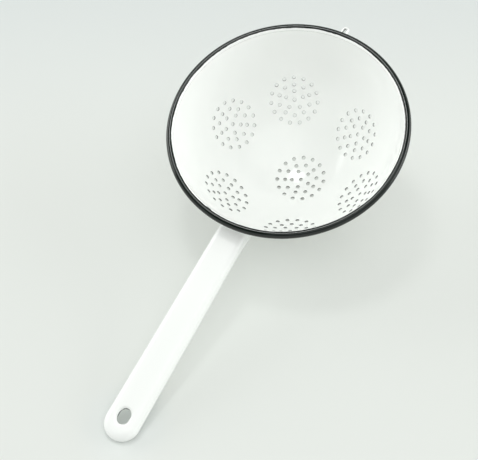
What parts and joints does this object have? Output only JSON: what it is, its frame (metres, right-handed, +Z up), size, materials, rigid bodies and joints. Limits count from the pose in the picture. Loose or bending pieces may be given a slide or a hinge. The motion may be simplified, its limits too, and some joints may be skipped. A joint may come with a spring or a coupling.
{
  "type": "strainer",
  "caption": "Round-bottomed enamelled strainer with groups of drain holes, a rolled black rim, a long channel handle with a hanging hole, and a small rest hook.",
  "frame": {"origin": "the point of the table that the round bottom of the bowl rests on, straight under the centre of the round bottom", "axes": "+Z up from the table, -Y from the bowl towards the end of the handle; the strainer lies as it is put down, on the bowl's bottom and the end of the handle, so the rim is tilted"},
  "size_m": [0.2, 0.3826, 0.1177],
  "materials": {
    "white_enamel": "glossy white vitreous enamel on steel sheet",
    "black_enamel": "glossy black vitreous enamel on the rolled rim",
    "steel_wire": "plain drawn steel wire, hidden inside the roll"
  },
  "bodies": {
    "root": {"bowl": "white_enamel", "rim_bead": "black_enamel", "rim_wire": "steel_wire", "handle": "white_enamel", "rest_hook": "white_enamel"}
  },
  "joints": []
}
